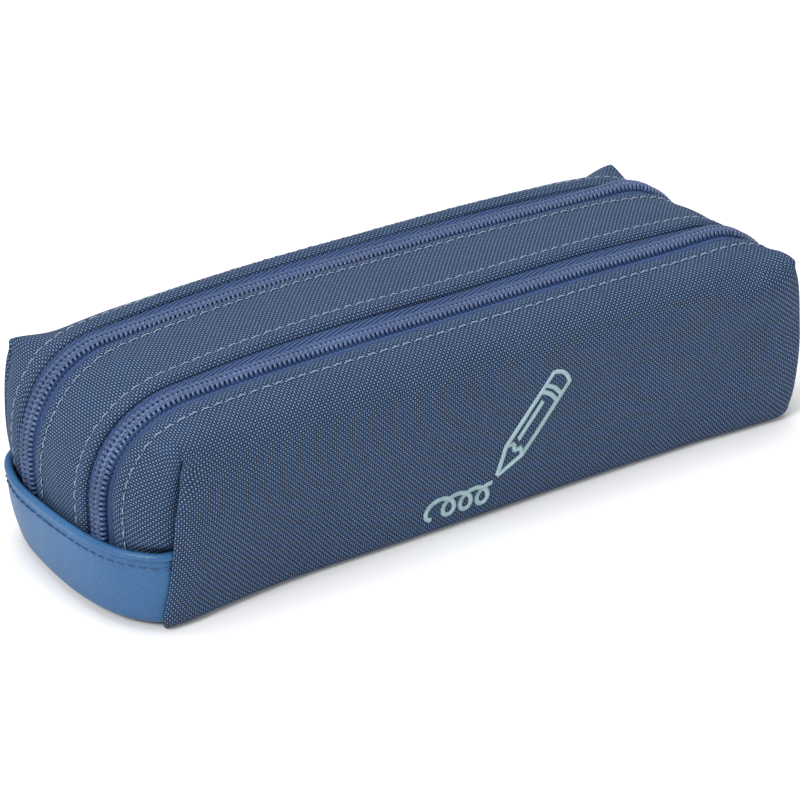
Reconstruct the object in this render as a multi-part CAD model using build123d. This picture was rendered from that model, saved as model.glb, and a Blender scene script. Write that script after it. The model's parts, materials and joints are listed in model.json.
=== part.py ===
from build123d import *
from math import acos, atan2, cos, degrees, hypot, radians, sin, sqrt
import os

# A two-compartment pencil case: a boxy fabric case, long in X, with its front on -Y.
# The origin is the middle of the flat base, +Z is up. All sizes are in mm.

# The case's outer form
half_length = 109.0        # middle of the case to the flat of either end
half_depth = 36.4          # middle of the case to the front face at the base
wall_lean = 3.6            # the faces stand this much further out at the top edge
height = 57.5              # base to the crown of the top
arch_radius = 1200.0       # the top is a long, flat arch
shoulder_radius = 27.0     # the top bends down over each end
edge_radius = 11.0         # the top bends over to the front and the rear
ridge_rise = 1.0           # the top edge's curve stops this far short of level: a soft ridge
base_round = 5.0           # round between the base and the walls
corner_radius = 16.0       # in plan, the ends bend towards the corner seams
corner_rise = 0.5          # the same for the corner's curve, at the flat of the end
base_seam_z = 4.0          # seam between the walls and the base

# Cloth and its layers, from outside to inside
panel_thickness = 1.2
layer_gap = 0.1            # between one layer and the next, and across a seam
tape_thickness = 0.7
lining_thickness = 0.4
divider_thickness = 1.0

# Zips: two, side by side, each over the top and down both ends
flap_width = 14.7          # front face, at the top edge, to the fold beside the zip
fold_clearance = 1.6       # folded edge to the slider
tape_width = 10.8          # one half of the zip's tape
coil_width = 2.4           # one row of the nylon coil
coil_rise = 1.2            # the coil stands this far above the cloth
chain_gap = 1.4            # between the two rows, for the slider's post
lining_clearance = 0.8     # edge of the lining to the slider

# Slider, its bridge and its pull
run_clearance = 0.3        # slider to coil, tape and everything that it passes
slider_length = 10.6
slider_plate = 1.2
slider_lower_plate = 1.0
slider_flange = 1.0
post_length = 3.0
slider_tilt = 78.0         # the sliders' place on the right-hand shoulder, degrees from the top
slider_corner = 1.6
bridge_length = 8.0
bridge_top_length = 4.8
bridge_width = 2.2
bridge_height = 4.2
bridge_round = 0.8
bar_height = 2.2           # the pull's bar above the slider's plate
bar_radius = 0.75
bar_clearance = 0.1
pull_length = 24.0         # from the bar to the free end
pull_width = 8.0
pull_thickness = 1.4
pull_window = 5.4          # length of the window that goes round the bridge
pull_arm = 1.2
pull_corner = 2.0
pull_hole_radius = 1.5

# Tab across the lower part of the left end
tab_height = 20.7
tab_base_z = 0.8
tab_thickness = 1.2
tab_rim_height = 2.4       # its rolled top edge
tab_rim_thickness = 0.7    # the rolled edge is this much thicker
tab_backing_thickness = 0.5
tab_corner_shift = 1.0     # the tab starts to bend this much nearer the middle than the end
tab_corner_extra = 1.0     # and with this much more radius
tab_seam_margin = 0.6      # the tab's ends stop this far short of the corner seams
tab_stitch_drop = 3.5      # stitch line below the tab's top

# Thread
thread_width = 0.5
thread_height = 0.3
thread_gap = 0.05
stitch_margin = 4.1        # from a folded edge to its line of stitches

# Embroidered sign on the front: a pencil and the line that it has drawn
sign_x = 1.5               # the pencil's point, from the middle of the case
sign_height = 6.0          # the pencil's point, up the face from the base's round
sign_thread = 1.3
sign_thickness = 0.5
pencil_length = 34.0
pencil_width = 7.0
pencil_point = 8.0
pencil_angle = 52.0
scribble_step = 7.0
scribble_loops = 3

beyond = 2 * half_length   # larger than the case, for cuts that pass right through
top_half_depth = half_depth + wall_lean
slider_width = chain_gap + 2 * (coil_width + run_clearance + slider_flange)
zip_window = slider_width + 2 * fold_clearance
window_outer = top_half_depth - flap_width
window_inner = window_outer - zip_window
zip_y = window_outer - zip_window / 2      # middle of the case to the middle of each zip
arch_z = height - arch_radius
shoulder_x = half_length - shoulder_radius
shoulder_z = arch_z + sqrt((arch_radius - shoulder_radius) ** 2 - shoulder_x ** 2)
top_edge_y = top_half_depth - edge_radius
top_edge_z = height + ridge_rise - edge_radius
base_edge_y = half_depth - base_round
corner_x = half_length + corner_rise - corner_radius
corner_y = top_half_depth + corner_rise - corner_radius


def centred_arc(x, y, radius, start, end):
    return CenterArc((x, y), radius, start, end - start)


def closed_face(arcs):
    """A face from arcs in order, with a straight line from each to the next."""
    edges = []
    for arc, following in zip(arcs, arcs[1:] + arcs[:1]):
        edges.append(arc)
        edges.append(Line(arc @ 1, following @ 0))
    return make_face(edges)


def side_face(inset):
    """The case seen from the front: base, upright ends, shoulders and arched top."""
    lean = degrees(atan2(shoulder_z - arch_z, shoulder_x))
    corner = half_length - base_round
    radius = shoulder_radius - inset
    right = centred_arc(shoulder_x, shoulder_z, radius, 0, lean)
    top = centred_arc(0, arch_z, arch_radius - inset, lean, 180 - lean)
    left = centred_arc(-shoulder_x, shoulder_z, radius, 180 - lean, 180)
    base_left = centred_arc(-corner, base_round, base_round - inset, 180, 270)
    base_right = centred_arc(corner, base_round, base_round - inset, 270, 360)
    edges = [right, top, left, Line(left @ 1, base_left @ 0), base_left]
    edges += [Line(base_left @ 1, base_right @ 0), base_right, Line(base_right @ 1, right @ 0)]
    return Plane.XZ * make_face(edges)


def face_angle():
    """How far the front face's outward direction dips below level, in degrees (negative)."""
    run = top_edge_y - base_edge_y
    rise = top_edge_z - base_round
    reach = acos((base_round - edge_radius) / hypot(run, rise))
    return degrees(atan2(rise, run) - reach)


def section_face(inset):
    """The case seen from its end: the walls lean outwards to rounded top edges."""
    dip = face_angle()
    top = edge_radius - inset
    base = base_round - inset
    arcs = [
        centred_arc(base_edge_y, base_round, base, -90, dip),
        centred_arc(top_edge_y, top_edge_z, top, dip, 90),
        centred_arc(-top_edge_y, top_edge_z, top, 90, 180 - dip),
        centred_arc(-base_edge_y, base_round, base, 180 - dip, 270),
    ]
    return Plane.YZ * closed_face(arcs)


def plan_face(inset):
    """The case seen from above: ends that bend back to the corner seams."""
    radius = corner_radius - inset
    arcs = [
        centred_arc(corner_x, -corner_y, radius, -90, 0),
        centred_arc(corner_x, corner_y, radius, 0, 90),
        centred_arc(-corner_x, corner_y, radius, 90, 180),
        centred_arc(-corner_x, -corner_y, radius, 180, 270),
    ]
    return closed_face(arcs)


def both_ways(face):
    return extrude(face, amount=beyond, both=True)


def case_form(inset):
    return both_ways(side_face(inset)) & both_ways(section_face(inset)) & both_ways(plan_face(inset))


def block(x, y, z):
    """A box from its low and high limits on each axis."""
    size = [high - low for low, high in (x, y, z)]
    return Pos(x[0], y[0], z[0]) * Box(*size, align=(Align.MIN, Align.MIN, Align.MIN))


def layer(outer, inner):
    return case_form(outer) - case_form(inner)


def above_seam(y):
    """Everything above the base seam, between two limits in Y."""
    return block((-beyond, beyond), y, (base_seam_z + layer_gap, beyond))


def mirror_side(side, y):
    """Limits in Y given for the front (y below zero), turned to the rear where side is 1."""
    return y if side < 0 else (-y[1], -y[0])


cloth = layer(0, panel_thickness)
tape_outer = panel_thickness + layer_gap
tape_inner = tape_outer + tape_thickness
tape = layer(tape_outer, tape_inner)
lining_outer = tape_inner + layer_gap
lining_inner = lining_outer + lining_thickness
thread = layer(-thread_gap - thread_height, -thread_gap)


def make_panel(side):
    return cloth & above_seam(mirror_side(side, (-beyond, -window_outer)))


def make_base():
    return cloth & block((-beyond, beyond), (-beyond, beyond), (-beyond, base_seam_z))


def make_strip():
    return cloth & above_seam((-window_inner, window_inner))


def make_divider():
    half = divider_thickness / 2
    return case_form(tape_outer) & block((-beyond, beyond), (-half, half), (-beyond, beyond))


def make_lining(side):
    """A bag of lining cloth for one compartment, open under the zip."""
    wall = divider_thickness / 2 + layer_gap
    outside = mirror_side(side, (-beyond, -wall))
    inside = mirror_side(side, (-beyond, -wall - lining_thickness))
    everywhere = (-beyond, beyond)
    bag = case_form(lining_outer) & block(everywhere, outside, everywhere)
    hollow = case_form(lining_inner) & block(everywhere, inside, everywhere)
    reach = slider_width / 2 + lining_clearance
    slot = mirror_side(side, (-zip_y - reach, -zip_y + reach))
    return bag - hollow - block(everywhere, slot, (2 * base_round, beyond))


def zip_half(side, half, width):
    """Limits in Y of one half of a zip, which starts beside the chain's middle."""
    middle = side * zip_y
    near = middle + half * chain_gap / 2
    far = near + half * width
    return (min(near, far), max(near, far))


def make_tape(side, half):
    return tape & above_seam(zip_half(side, half, tape_width))


def make_coil(side, half):
    band = both_ways(side_face(-coil_rise)) - both_ways(side_face(panel_thickness))
    return band & above_seam(zip_half(side, half, coil_width))


def drum(radius, width):
    """A solid cylinder about the shoulder's own axis."""
    return Rot(X=90) * Cylinder(radius, width)


def ring(outer, inner, width):
    return drum(outer, width) - drum(inner, 2 * width)


coil_top = shoulder_radius + coil_rise
plate_under = coil_top + run_clearance
plate_top = plate_under + slider_plate
bar_place = plate_top + bar_height


def place_on_shoulder(shape, side):
    """Take a shape made at the top of the shoulder's circle to the slider's place."""
    return Pos(shoulder_x, side * zip_y, shoulder_z) * Rot(Y=slider_tilt) * shape


def make_slider(side):
    half = slider_length / 2
    lower_top = shoulder_radius - tape_inner - run_clearance
    lower_base = lower_top - slider_lower_plate
    flange_base = shoulder_radius - tape_outer + run_clearance
    post_half = chain_gap / 2 - run_clearance
    outline = extrude(RectangleRounded(slider_length, slider_width, slider_corner), beyond)
    upper = ring(plate_top, plate_under, slider_width) & outline
    lower = ring(lower_top, lower_base, slider_width) & outline
    post_zone = block((-half, -half + post_length), (-post_half, post_half), (0, beyond))
    post = ring(plate_under + layer_gap, lower_top - layer_gap, slider_width) & post_zone
    channel = slider_width / 2 - slider_flange
    flanges = ring(plate_under + layer_gap, flange_base, slider_width)
    flanges &= block((slider_corner - half, half - slider_corner), (-beyond, beyond), (0, beyond))
    flanges -= block((-beyond, beyond), (-channel, channel), (0, beyond))
    return place_on_shoulder(upper + lower + post + flanges, side)


def make_bridge(side):
    """The arch on the slider, with the hole that the pull's bar turns in."""
    foot = plate_top - slider_plate / 2
    crown = plate_top + bridge_height
    corners = [
        (-bridge_length / 2, foot),
        (bridge_length / 2, foot),
        (bridge_length / 2, plate_top + bridge_round),
        (bridge_top_length / 2, crown),
        (-bridge_top_length / 2, crown),
        (-bridge_length / 2, plate_top + bridge_round),
    ]
    outline = make_face(Polyline(*corners, close=True))
    arch = extrude(Plane.XZ * outline, bridge_width / 2, both=True)
    arch = fillet(arch.edges().filter_by(Axis.Y).group_by(Axis.Z)[-1], bridge_round)
    hole = Pos(0, 0, bar_place) * drum(bar_radius + bar_clearance, 2 * bridge_width)
    return place_on_shoulder(arch - hole - drum(plate_top + thread_gap, 2 * bridge_width), side)


def make_pull(side):
    """The pull, made along +X from its bar, then hung straight down from the bridge."""
    arm_inner = bridge_width / 2 + run_clearance
    arm_outer = arm_inner + pull_arm
    plate_length = pull_length - pull_window
    plate_middle = pull_window + plate_length / 2
    plate = Pos(plate_middle, 0, 0) * RectangleRounded(plate_length, pull_width, pull_corner)
    plate -= Pos(pull_length - pull_corner - pull_hole_radius, 0, 0) * Circle(pull_hole_radius)
    pull = extrude(plate, pull_thickness / 2, both=True)
    reach = pull_window + pull_corner
    for way in (-1, 1):
        middle = way * (arm_inner + arm_outer) / 2
        arm = Pos(reach / 2, middle, 0) * Box(reach, pull_arm, pull_thickness)
        pull += arm + Pos(0, middle, 0) * drum(bar_radius, pull_arm)
    pull += drum(bar_radius, 2 * arm_outer)
    tilt = radians(slider_tilt)
    bar_x = shoulder_x + bar_place * sin(tilt)
    bar_z = shoulder_z + bar_place * cos(tilt)
    return Pos(bar_x, side * zip_y, bar_z) * Rot(Y=90) * pull


tab_inner_x = half_length + coil_rise + run_clearance
tab_corner_radius = corner_radius + tab_corner_extra
tab_corner_y = corner_y - tab_corner_shift


def tab_curve(offset):
    """The tab's line in plan, at the left end, closed across the case behind it."""
    radius = tab_corner_radius + offset
    centre_x = tab_corner_radius - tab_inner_x
    arcs = [
        centred_arc(centre_x, tab_corner_y, radius, 90, 180),
        centred_arc(centre_x, -tab_corner_y, radius, 180, 270),
    ]
    return closed_face(arcs)


def tab_layer(outer, inner, low, high):
    """A band of the tab between two offsets from its inner line and two heights."""
    reach = half_depth - tab_seam_margin
    band = extrude(tab_curve(outer) - tab_curve(inner), beyond, both=True)
    return band & block((-beyond, -corner_x), (-reach, reach), (low, high))


tab_top = tab_base_z + tab_height
tab_skin = tab_backing_thickness + layer_gap
tab_outer = tab_skin + tab_thickness


def make_tab():
    band = tab_layer(tab_outer, tab_skin, tab_base_z, tab_top)
    rim = tab_layer(tab_outer + tab_rim_thickness, tab_skin, tab_top - tab_rim_height, tab_top)
    return band + rim


def make_tab_backing():
    return tab_layer(tab_backing_thickness, 0, tab_base_z, tab_top - tab_rim_height)


def make_tab_stitching():
    low = tab_top - tab_stitch_drop - thread_width
    inner = tab_outer + thread_gap
    return tab_layer(inner + thread_height, inner, low, low + thread_width)


def make_stitching(middle):
    """One line of thread over the top and down both ends, at a place in Y."""
    return thread & above_seam((middle - thread_width / 2, middle + thread_width / 2))


def face_plane(offset):
    """A plane on the front face: X along the case, Y up the face."""
    dip = radians(face_angle())
    reach = base_round + offset
    origin = (0, -base_edge_y - reach * cos(dip), base_round + reach * sin(dip))
    return Plane(origin, x_dir=(1, 0, 0), z_dir=(0, -cos(dip), sin(dip)))


def half_ring(radius, upper):
    band = Circle(radius + sign_thread / 2) - Circle(radius - sign_thread / 2)
    align = Align.MIN if upper else Align.MAX
    return band & Rectangle(4 * radius, 4 * radius, align=(Align.CENTER, align))


def make_sign():
    """A pencil in outline, and a wavy line that starts beside its point."""
    half = pencil_width / 2
    outline = Polyline(
        (0, 0), (pencil_point, half), (pencil_length, half),
        (pencil_length, -half), (pencil_point, -half), close=True,
    )
    whole = make_face(outline)
    pencil = whole - offset(whole, -sign_thread, kind=Kind.INTERSECTION)
    for place in (pencil_point, pencil_length - pencil_point):
        pencil += Pos(place, 0) * Rectangle(sign_thread, pencil_width - sign_thread)
    drawn = extrude(Rot(Z=pencil_angle) * pencil, sign_thickness)
    for turn in range(scribble_loops):
        middle = -sign_thread - (turn + 0.5) * scribble_step
        wave = Pos(middle, 0) * half_ring(scribble_step / 2, turn % 2 == 0)
        drawn += extrude(wave, sign_thickness)
    return face_plane(thread_gap) * Pos(sign_x, sign_height) * drawn


nodes = {
    "front_panel": make_panel(-1),
    "rear_panel": make_panel(1),
    "base_panel": make_base(),
    "centre_strip": make_strip(),
    "divider": make_divider(),
    "front_lining": make_lining(-1),
    "rear_lining": make_lining(1),
    "end_tab": make_tab(),
    "end_tab_backing": make_tab_backing(),
    "end_tab_stitching": make_tab_stitching(),
    "front_panel_stitching": make_stitching(-window_outer - stitch_margin),
    "strip_front_stitching": make_stitching(-window_inner + stitch_margin),
    "strip_rear_stitching": make_stitching(window_inner - stitch_margin),
    "rear_panel_stitching": make_stitching(window_outer + stitch_margin),
    "embroidered_sign": make_sign(),
}
for side, name in ((-1, "front"), (1, "rear")):
    nodes[name + "_zip_tape_outer"] = make_tape(side, side)
    nodes[name + "_zip_tape_inner"] = make_tape(side, -side)
    nodes[name + "_zip_coil_outer"] = make_coil(side, side)
    nodes[name + "_zip_coil_inner"] = make_coil(side, -side)
    nodes[name + "_slider"] = make_slider(side)
    nodes[name + "_slider_bridge"] = make_bridge(side)
    nodes[name + "_pull"] = make_pull(side)

os.makedirs("parts", exist_ok=True)
for name, shape in nodes.items():
    export_step(shape, "parts/" + name + ".step")
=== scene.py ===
import json
import math

import bmesh
import bpy
import numpy as np
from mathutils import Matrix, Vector


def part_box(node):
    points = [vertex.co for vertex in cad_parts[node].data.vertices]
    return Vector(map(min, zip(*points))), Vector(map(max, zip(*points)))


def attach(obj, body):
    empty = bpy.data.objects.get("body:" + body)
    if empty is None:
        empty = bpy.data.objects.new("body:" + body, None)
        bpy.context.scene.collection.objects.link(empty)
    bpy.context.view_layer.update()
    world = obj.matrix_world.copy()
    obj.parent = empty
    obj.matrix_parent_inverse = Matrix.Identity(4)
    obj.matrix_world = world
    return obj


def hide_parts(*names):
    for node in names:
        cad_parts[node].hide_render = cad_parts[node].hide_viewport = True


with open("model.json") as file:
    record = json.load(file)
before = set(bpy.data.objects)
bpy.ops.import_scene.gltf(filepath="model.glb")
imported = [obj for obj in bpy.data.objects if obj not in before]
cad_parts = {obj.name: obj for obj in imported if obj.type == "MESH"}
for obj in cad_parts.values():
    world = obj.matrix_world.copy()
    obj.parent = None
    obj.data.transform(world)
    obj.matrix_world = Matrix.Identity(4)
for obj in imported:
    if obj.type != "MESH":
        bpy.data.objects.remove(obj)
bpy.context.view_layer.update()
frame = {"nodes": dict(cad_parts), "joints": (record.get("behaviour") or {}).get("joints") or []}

mm = 0.001      # the shapes below are worked out in millimetres
rng = np.random.default_rng(7)
print("stage: frame loaded")


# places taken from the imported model
def highCorner(node):
    return np.array(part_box(node)[1]) / mm


stripHigh = highCorner("centre_strip")
zipJoint = next(j for j in frame["joints"] if j["name"] == "front_zip")
halfLength = float(stripHigh[0])
innerFold = float(stripHigh[1])             # folded edge of the centre strip
outerFold = -float(highCorner("front_panel")[1])    # folded edge of the front and rear panels
zipMiddle = (innerFold + outerFold) / 2
shoulderX = zipJoint["pos_m"][0] / mm
shoulderZ = zipJoint["pos_m"][2] / mm
shoulderRadius = halfLength - shoulderX

cloth = {
    "archRadius": 1200.0,   # the top is a very flat arch
    "lean": 1.9,            # the left end slopes in towards the floor at the rear
    "endRound": 2.6,        # the left end is rounder in plan, under the tab
    "roundFrom": 9.0,       # from this far off the middle
    "wave": 0.22,           # slow waves of the folded edges
    "thickness": 0.9,
    "foldRadius": 0.8,
    "lowerRound": 3.2,      # where the ends turn in under the case
    "floorGap": 0.05,
    "stripRise": 0.2,       # the strip stands a little above the flaps
    "stripFold": 0.95,
    "stripPlump": 0.7,      # the strip's middle stands above its edges
    "stitchLine": 4.1,      # from a fold to its stitches
    "hemRise": 0.42,
    "stitchSink": 0.38,
    "tuck": 4.0,            # cloth turned under beside the zip
    "leftPull": (0.12, 0.06),   # the zips draw together towards the left end, front and rear
    "middleSpread": 0.02,       # the front zip stands a little further out in the middle
}

# how the filled-out case has settled: how far the cloth stands off the plain form, by the
# distance along it, at the front flap, front zip, strip's two edges, rear zip and rear flap
settleAlong = (-130, -100, -70, -35, 0, 40, 72, 90, 125)
settleAcross = {
    "frontFlap": (0.0, 0.2, -0.4, -1.6, -2.2, -2.1, -1.5, -0.5, 0.0),
    "frontZip": (0.0, -0.2, -0.8, -1.8, -2.6, -2.2, -1.5, -0.3, 0.0),
    "stripFront": (0.0, 0.5, 1.3, 1.2, -0.3, 0.1, 0.2, -0.3, 0.0),
    "stripRear": (0.0, 0.7, 2.0, 1.9, 0.8, 0.4, 0.2, -0.8, 0.0),
    "rearZip": (0.0, -0.3, -0.9, -1.0, -1.7, -1.7, -1.2, -0.2, 0.0),
    "rearFlap": (0.0, 0.3, 0.7, 0.8, 0.1, 0.0, -0.4, -1.2, 0.0),
}
settleAt = (-26.0, -19.3, -9.5, 9.5, 19.3, 26.0)


def ease(low, high, x):
    t = np.clip((x - low) / (high - low), 0.0, 1.0)
    return t * t * (3 - 2 * t)


# a hump of height one and some half width
def hump(x, width):
    return np.exp(-((x / width) ** 2))


def mix(a, b, w):
    w = np.asarray(w)[..., None]
    return a * (1 - w) + b * w


def unit(v):
    return v / np.maximum(np.linalg.norm(v, axis=-1, keepdims=True), 1e-9)


def along(a, b, t):
    return a + (b - a) * t


def stacked(*parts):
    return np.stack(np.broadcast_arrays(*parts), axis=-1)


# the values of a table's columns at places between its rows
def valuesAt(x, places, table):
    return stacked(*(np.interp(x, places, column) for column in np.asarray(table).T))


# lengths from one column of a grid to the next, added up along each row
def stepsAcross(grid):
    return np.linalg.norm(np.diff(grid, axis=1, prepend=grid[:, :1]), axis=-1).cumsum(axis=1)


archRadius = cloth["archRadius"]
lowerRound = cloth["lowerRound"]
archAngle = math.asin(shoulderX / (archRadius - shoulderRadius))
archLength = archRadius * archAngle
shoulderEnd = archLength + shoulderRadius * (math.pi / 2 - archAngle)
straightEnd = shoulderEnd + shoulderZ - lowerRound
pathEnd = straightEnd + lowerRound * math.pi / 2      # half the way round, where it has turned under
crownZ = shoulderZ + archRadius + (shoulderRadius - archRadius) * math.cos(archAngle)


# the line over the top and down both ends: place and outward direction, by distance from the crown
def pathFrame(s):
    s = np.asarray(s, float)
    a, side = np.abs(s), np.sign(s)
    turn = np.clip(archAngle + (a - archLength) / shoulderRadius, archAngle, math.pi / 2)
    tilt = np.where(a < archLength, a / archRadius, turn)
    onArch = a < archLength
    x = np.where(onArch, archRadius * np.sin(tilt), shoulderX + shoulderRadius * np.sin(tilt))
    archZ = crownZ - archRadius * (1 - np.cos(tilt))
    z = np.where(onArch, archZ, shoulderZ + shoulderRadius * np.cos(tilt))
    z = z - np.clip(a - shoulderEnd, 0, straightEnd - shoulderEnd)
    under = np.clip((a - straightEnd) / lowerRound, 0, math.pi / 2)
    x = x - lowerRound * (1 - np.cos(under))
    z = z - lowerRound * np.sin(under)
    tilt = tilt + under
    return x * side, z, np.sin(tilt) * side, np.cos(tilt)


# smooth values between a few given ones
def smoothly(x, places, values):
    places, values = np.asarray(places, float), np.asarray(values, float)
    slopes = np.gradient(values, places, axis=0)
    x = np.clip(x, places[0], places[-1])
    k = np.clip(np.searchsorted(places, x) - 1, 0, len(places) - 2)
    gap = places[k + 1] - places[k]
    t = (x - places[k]) / gap
    rise = (3 - 2 * t) * t * t
    bend = gap * (slopes[k] * t * (1 - t) ** 2 - slopes[k + 1] * t * t * (1 - t))
    return values[k] + (values[k + 1] - values[k]) * rise + bend


# how far the cloth stands off that line
def clothOffset(s, y):
    s, y = np.broadcast_arrays(np.asarray(s, float), np.asarray(y, float))
    lines = [smoothly(s, settleAlong, values) for values in settleAcross.values()]
    k = np.clip(np.searchsorted(settleAt, y) - 1, 0, len(settleAt) - 2)
    near, far = np.take(settleAt, k), np.take(settleAt, k + 1)
    low, high = np.choose(k, lines[:-1]), np.choose(k, lines[1:])
    leftEnd = ease(-98, -128, s)
    offMiddle = np.maximum(np.abs(drawn(s, y)) - cloth["roundFrom"], 0)
    rounding = cloth["endRound"] * (offMiddle / (outerFold - cloth["roundFrom"])) ** 1.5
    lean = cloth["lean"] * ease(-127, -150, s) * ease(-12, 20, y)
    return low + (high - low) * ease(near, far, y) - leftEnd * rounding - lean


# the zips draw together at the left end, and stand a little apart in the middle
def drawn(s, y):
    pull = np.where(y < 0, *cloth["leftPull"]) * ease(-84, -116, s)
    spread = cloth["middleSpread"] * ease(14, 19, -y) * np.exp(-(((s - 5) / 60) ** 4))
    return y * (1 - pull + spread)


def onPath(s, y, h):
    s, y, h = np.broadcast_arrays(*(np.asarray(part, float) for part in (s, y, h)))
    x, z, nx, nz = pathFrame(s)
    h = h + clothOffset(s, y)
    return stacked(x + h * nx, drawn(s, y), np.maximum(z + h * nz, cloth["floorGap"]))


# slow waves of a folded edge; another kind gives another run of them
def wave(s, kind):
    s = np.asarray(s, float)
    slow = np.sin(s / 19 + 1.7 * kind) + 0.6 * np.sin(s / 8.3 + 2.9 * kind)
    return cloth["wave"] * slow * (1 - ease(archLength + 5, archLength + 40, np.abs(s)) * 0.6)


# a shell has to face outward before it is given its thickness
def turnOutward(mesh):
    total = 0.0
    for face in mesh.polygons:
        total += face.area * face.normal.dot(face.center - Vector((0, 0, shoulderZ * mm)))
    if total < 0:
        mesh.flip_normals()


def addToScene(name, data):
    thing = bpy.data.objects.new(name, data)
    bpy.context.collection.objects.link(thing)
    return thing


# all the pieces made here ride the case, most of them in place of one of its nodes
def makeObject(name, mesh, node, material, thickness=0.0):
    if thickness:
        turnOutward(mesh)
    thing = addToScene(name, mesh)
    mesh.materials.append(material)
    mesh.shade_smooth()
    if thickness:
        solid = thing.modifiers.new("thickness", "SOLIDIFY")
        solid.thickness = thickness * mm
        solid.offset = -1
    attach(thing, "case")
    if node:
        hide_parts(node)


# clothLay keeps each point's place in its flat cloth, for the weave to follow
def meshFrom(name, points, faces, lay):
    points = points.reshape(-1, 3)
    mesh = bpy.data.meshes.new(name)
    mesh.from_pydata((points * mm).tolist(), [], faces)
    attribute = mesh.attributes.new("clothLay", "FLOAT_VECTOR", "POINT")
    flat = np.zeros((len(points), 3), np.float32)
    flat[:, : lay.shape[-1]] = lay.reshape(-1, lay.shape[-1]) * mm
    attribute.data.foreach_set("vector", flat.ravel())
    return mesh


def gridFaces(rows, columns, start=0, closed=False, flip=False):
    faces = []
    span = columns if closed else columns - 1
    for i in range(rows - 1):
        for j in range(span):
            k = (j + 1) % columns
            a, b = start + i * columns + j, start + i * columns + k
            c, d = b + columns, a + columns
            faces.append((a, d, c, b) if flip else (a, b, c, d))
    return faces


def gridMesh(name, points, lay, closed=False):
    return meshFrom(name, points, gridFaces(*points.shape[:2], closed=closed), lay)


def joinGrids(name, grids):
    points, lays, faces = [], [], []
    for grid, lay in grids:
        start = sum(len(p) for p in points)
        points.append(grid.reshape(-1, 3))
        lays.append(lay.reshape(-1, 2))
        faces += gridFaces(*grid.shape[:2], start, flip=True)
    return meshFrom(name, np.concatenate(points), faces, np.concatenate(lays))


def weld(mesh, distance):
    work = bmesh.new()
    work.from_mesh(mesh)
    bmesh.ops.remove_doubles(work, verts=work.verts, dist=distance * mm)
    work.to_mesh(mesh)
    work.free()


# many like tubes in one mesh: each route is a row of points, with one radius for each point
def tubesMesh(name, routes, radii, sides=6):
    routes = np.asarray(routes, float)
    count, steps = routes.shape[:2]
    forward = unit(np.gradient(routes, axis=1))
    helper = np.where(np.abs(forward[..., 2:3]) > 0.9, [[[1.0, 0, 0]]], [[[0, 0, 1.0]]])
    across = unit(np.cross(forward, helper))
    up = np.cross(across, forward)
    angles = np.arange(sides) * 2 * math.pi / sides
    radii = np.broadcast_to(np.asarray(radii, float), (count, steps))[..., None, None]
    ring = across[:, :, None] * np.cos(angles)[:, None] + up[:, :, None] * np.sin(angles)[:, None]
    points = routes[:, :, None] + ring * radii
    lay = stacked(stepsAcross(routes)[:, :, None], angles * 0.3)
    faces = []
    for k in range(count):
        start = k * steps * sides
        faces += gridFaces(steps, sides, start, closed=True, flip=True)
        faces.append(tuple(start + j for j in range(sides)))
        faces.append(tuple(start + (steps - 1) * sides + j for j in reversed(range(sides))))
    return meshFrom(name, points, faces, lay)


class Wiring:
    def __init__(self, tree):
        self.tree = tree

    # a node with its settings, then what goes into it: numbers or other nodes' outputs
    def add(self, kind, given=(), **settings):
        node = self.tree.nodes.new(kind)
        for key, value in settings.items():
            setattr(node, key, value)
        for label, value in dict(given).items():
            self.put(value, node.inputs[label])
        return node

    def put(self, value, socket):
        if isinstance(value, bpy.types.NodeSocket):
            self.tree.links.new(value, socket)
        elif value is not None:
            socket.default_value = value

    def math(self, operation, *given, clamp=False):
        node = self.add("ShaderNodeMath", enumerate(given), operation=operation, use_clamp=clamp)
        return node.outputs[0]

    def times(self, a, b):
        return self.math("MULTIPLY", a, b)

    def minus(self, a, b):
        return self.math("SUBTRACT", a, b)

    # a sine or cosine, brought to 0 .. 1
    def swing(self, operation, angle):
        return self.math("MULTIPLY_ADD", self.math(operation, angle), 0.5, 0.5)

    def split(self, vector):
        return self.add("ShaderNodeSeparateXYZ", {0: vector}).outputs

    def mixColor(self, factor, a, b, blend="MIX"):
        given = {"Factor": factor, 6: a, 7: b}
        return self.add("ShaderNodeMix", given, data_type="RGBA", blend_type=blend).outputs[2]

    def noise(self, vector, scale, detail=2.0, roughness=0.5):
        given = {"Vector": vector, "Scale": scale, "Detail": detail, "Roughness": roughness}
        return self.add("ShaderNodeTexNoise", given).outputs["Fac"]

    def ramp(self, value, low, high, lowTo=0.0, highTo=1.0):
        given = {"Value": value, "From Min": low, "From Max": high, "To Min": lowTo, "To Max": highTo}
        return self.add("ShaderNodeMapRange", given, interpolation_type="SMOOTHSTEP").outputs[0]


# a shader group used by several materials: inputs without a number are vectors
def newGroup(name, inputs, outputs):
    group = bpy.data.node_groups.new(name, "ShaderNodeTree")
    for label, value in inputs.items():
        kind = "NodeSocketVector" if value is None else "NodeSocketFloat"
        entry = group.interface.new_socket(label, in_out="INPUT", socket_type=kind)
        if value is not None:
            entry.default_value = value
    for label in outputs:
        group.interface.new_socket(label, in_out="OUTPUT", socket_type="NodeSocketFloat")
    w = Wiring(group)
    return w, w.add("NodeGroupInput").outputs, w.add("NodeGroupOutput").inputs


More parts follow.
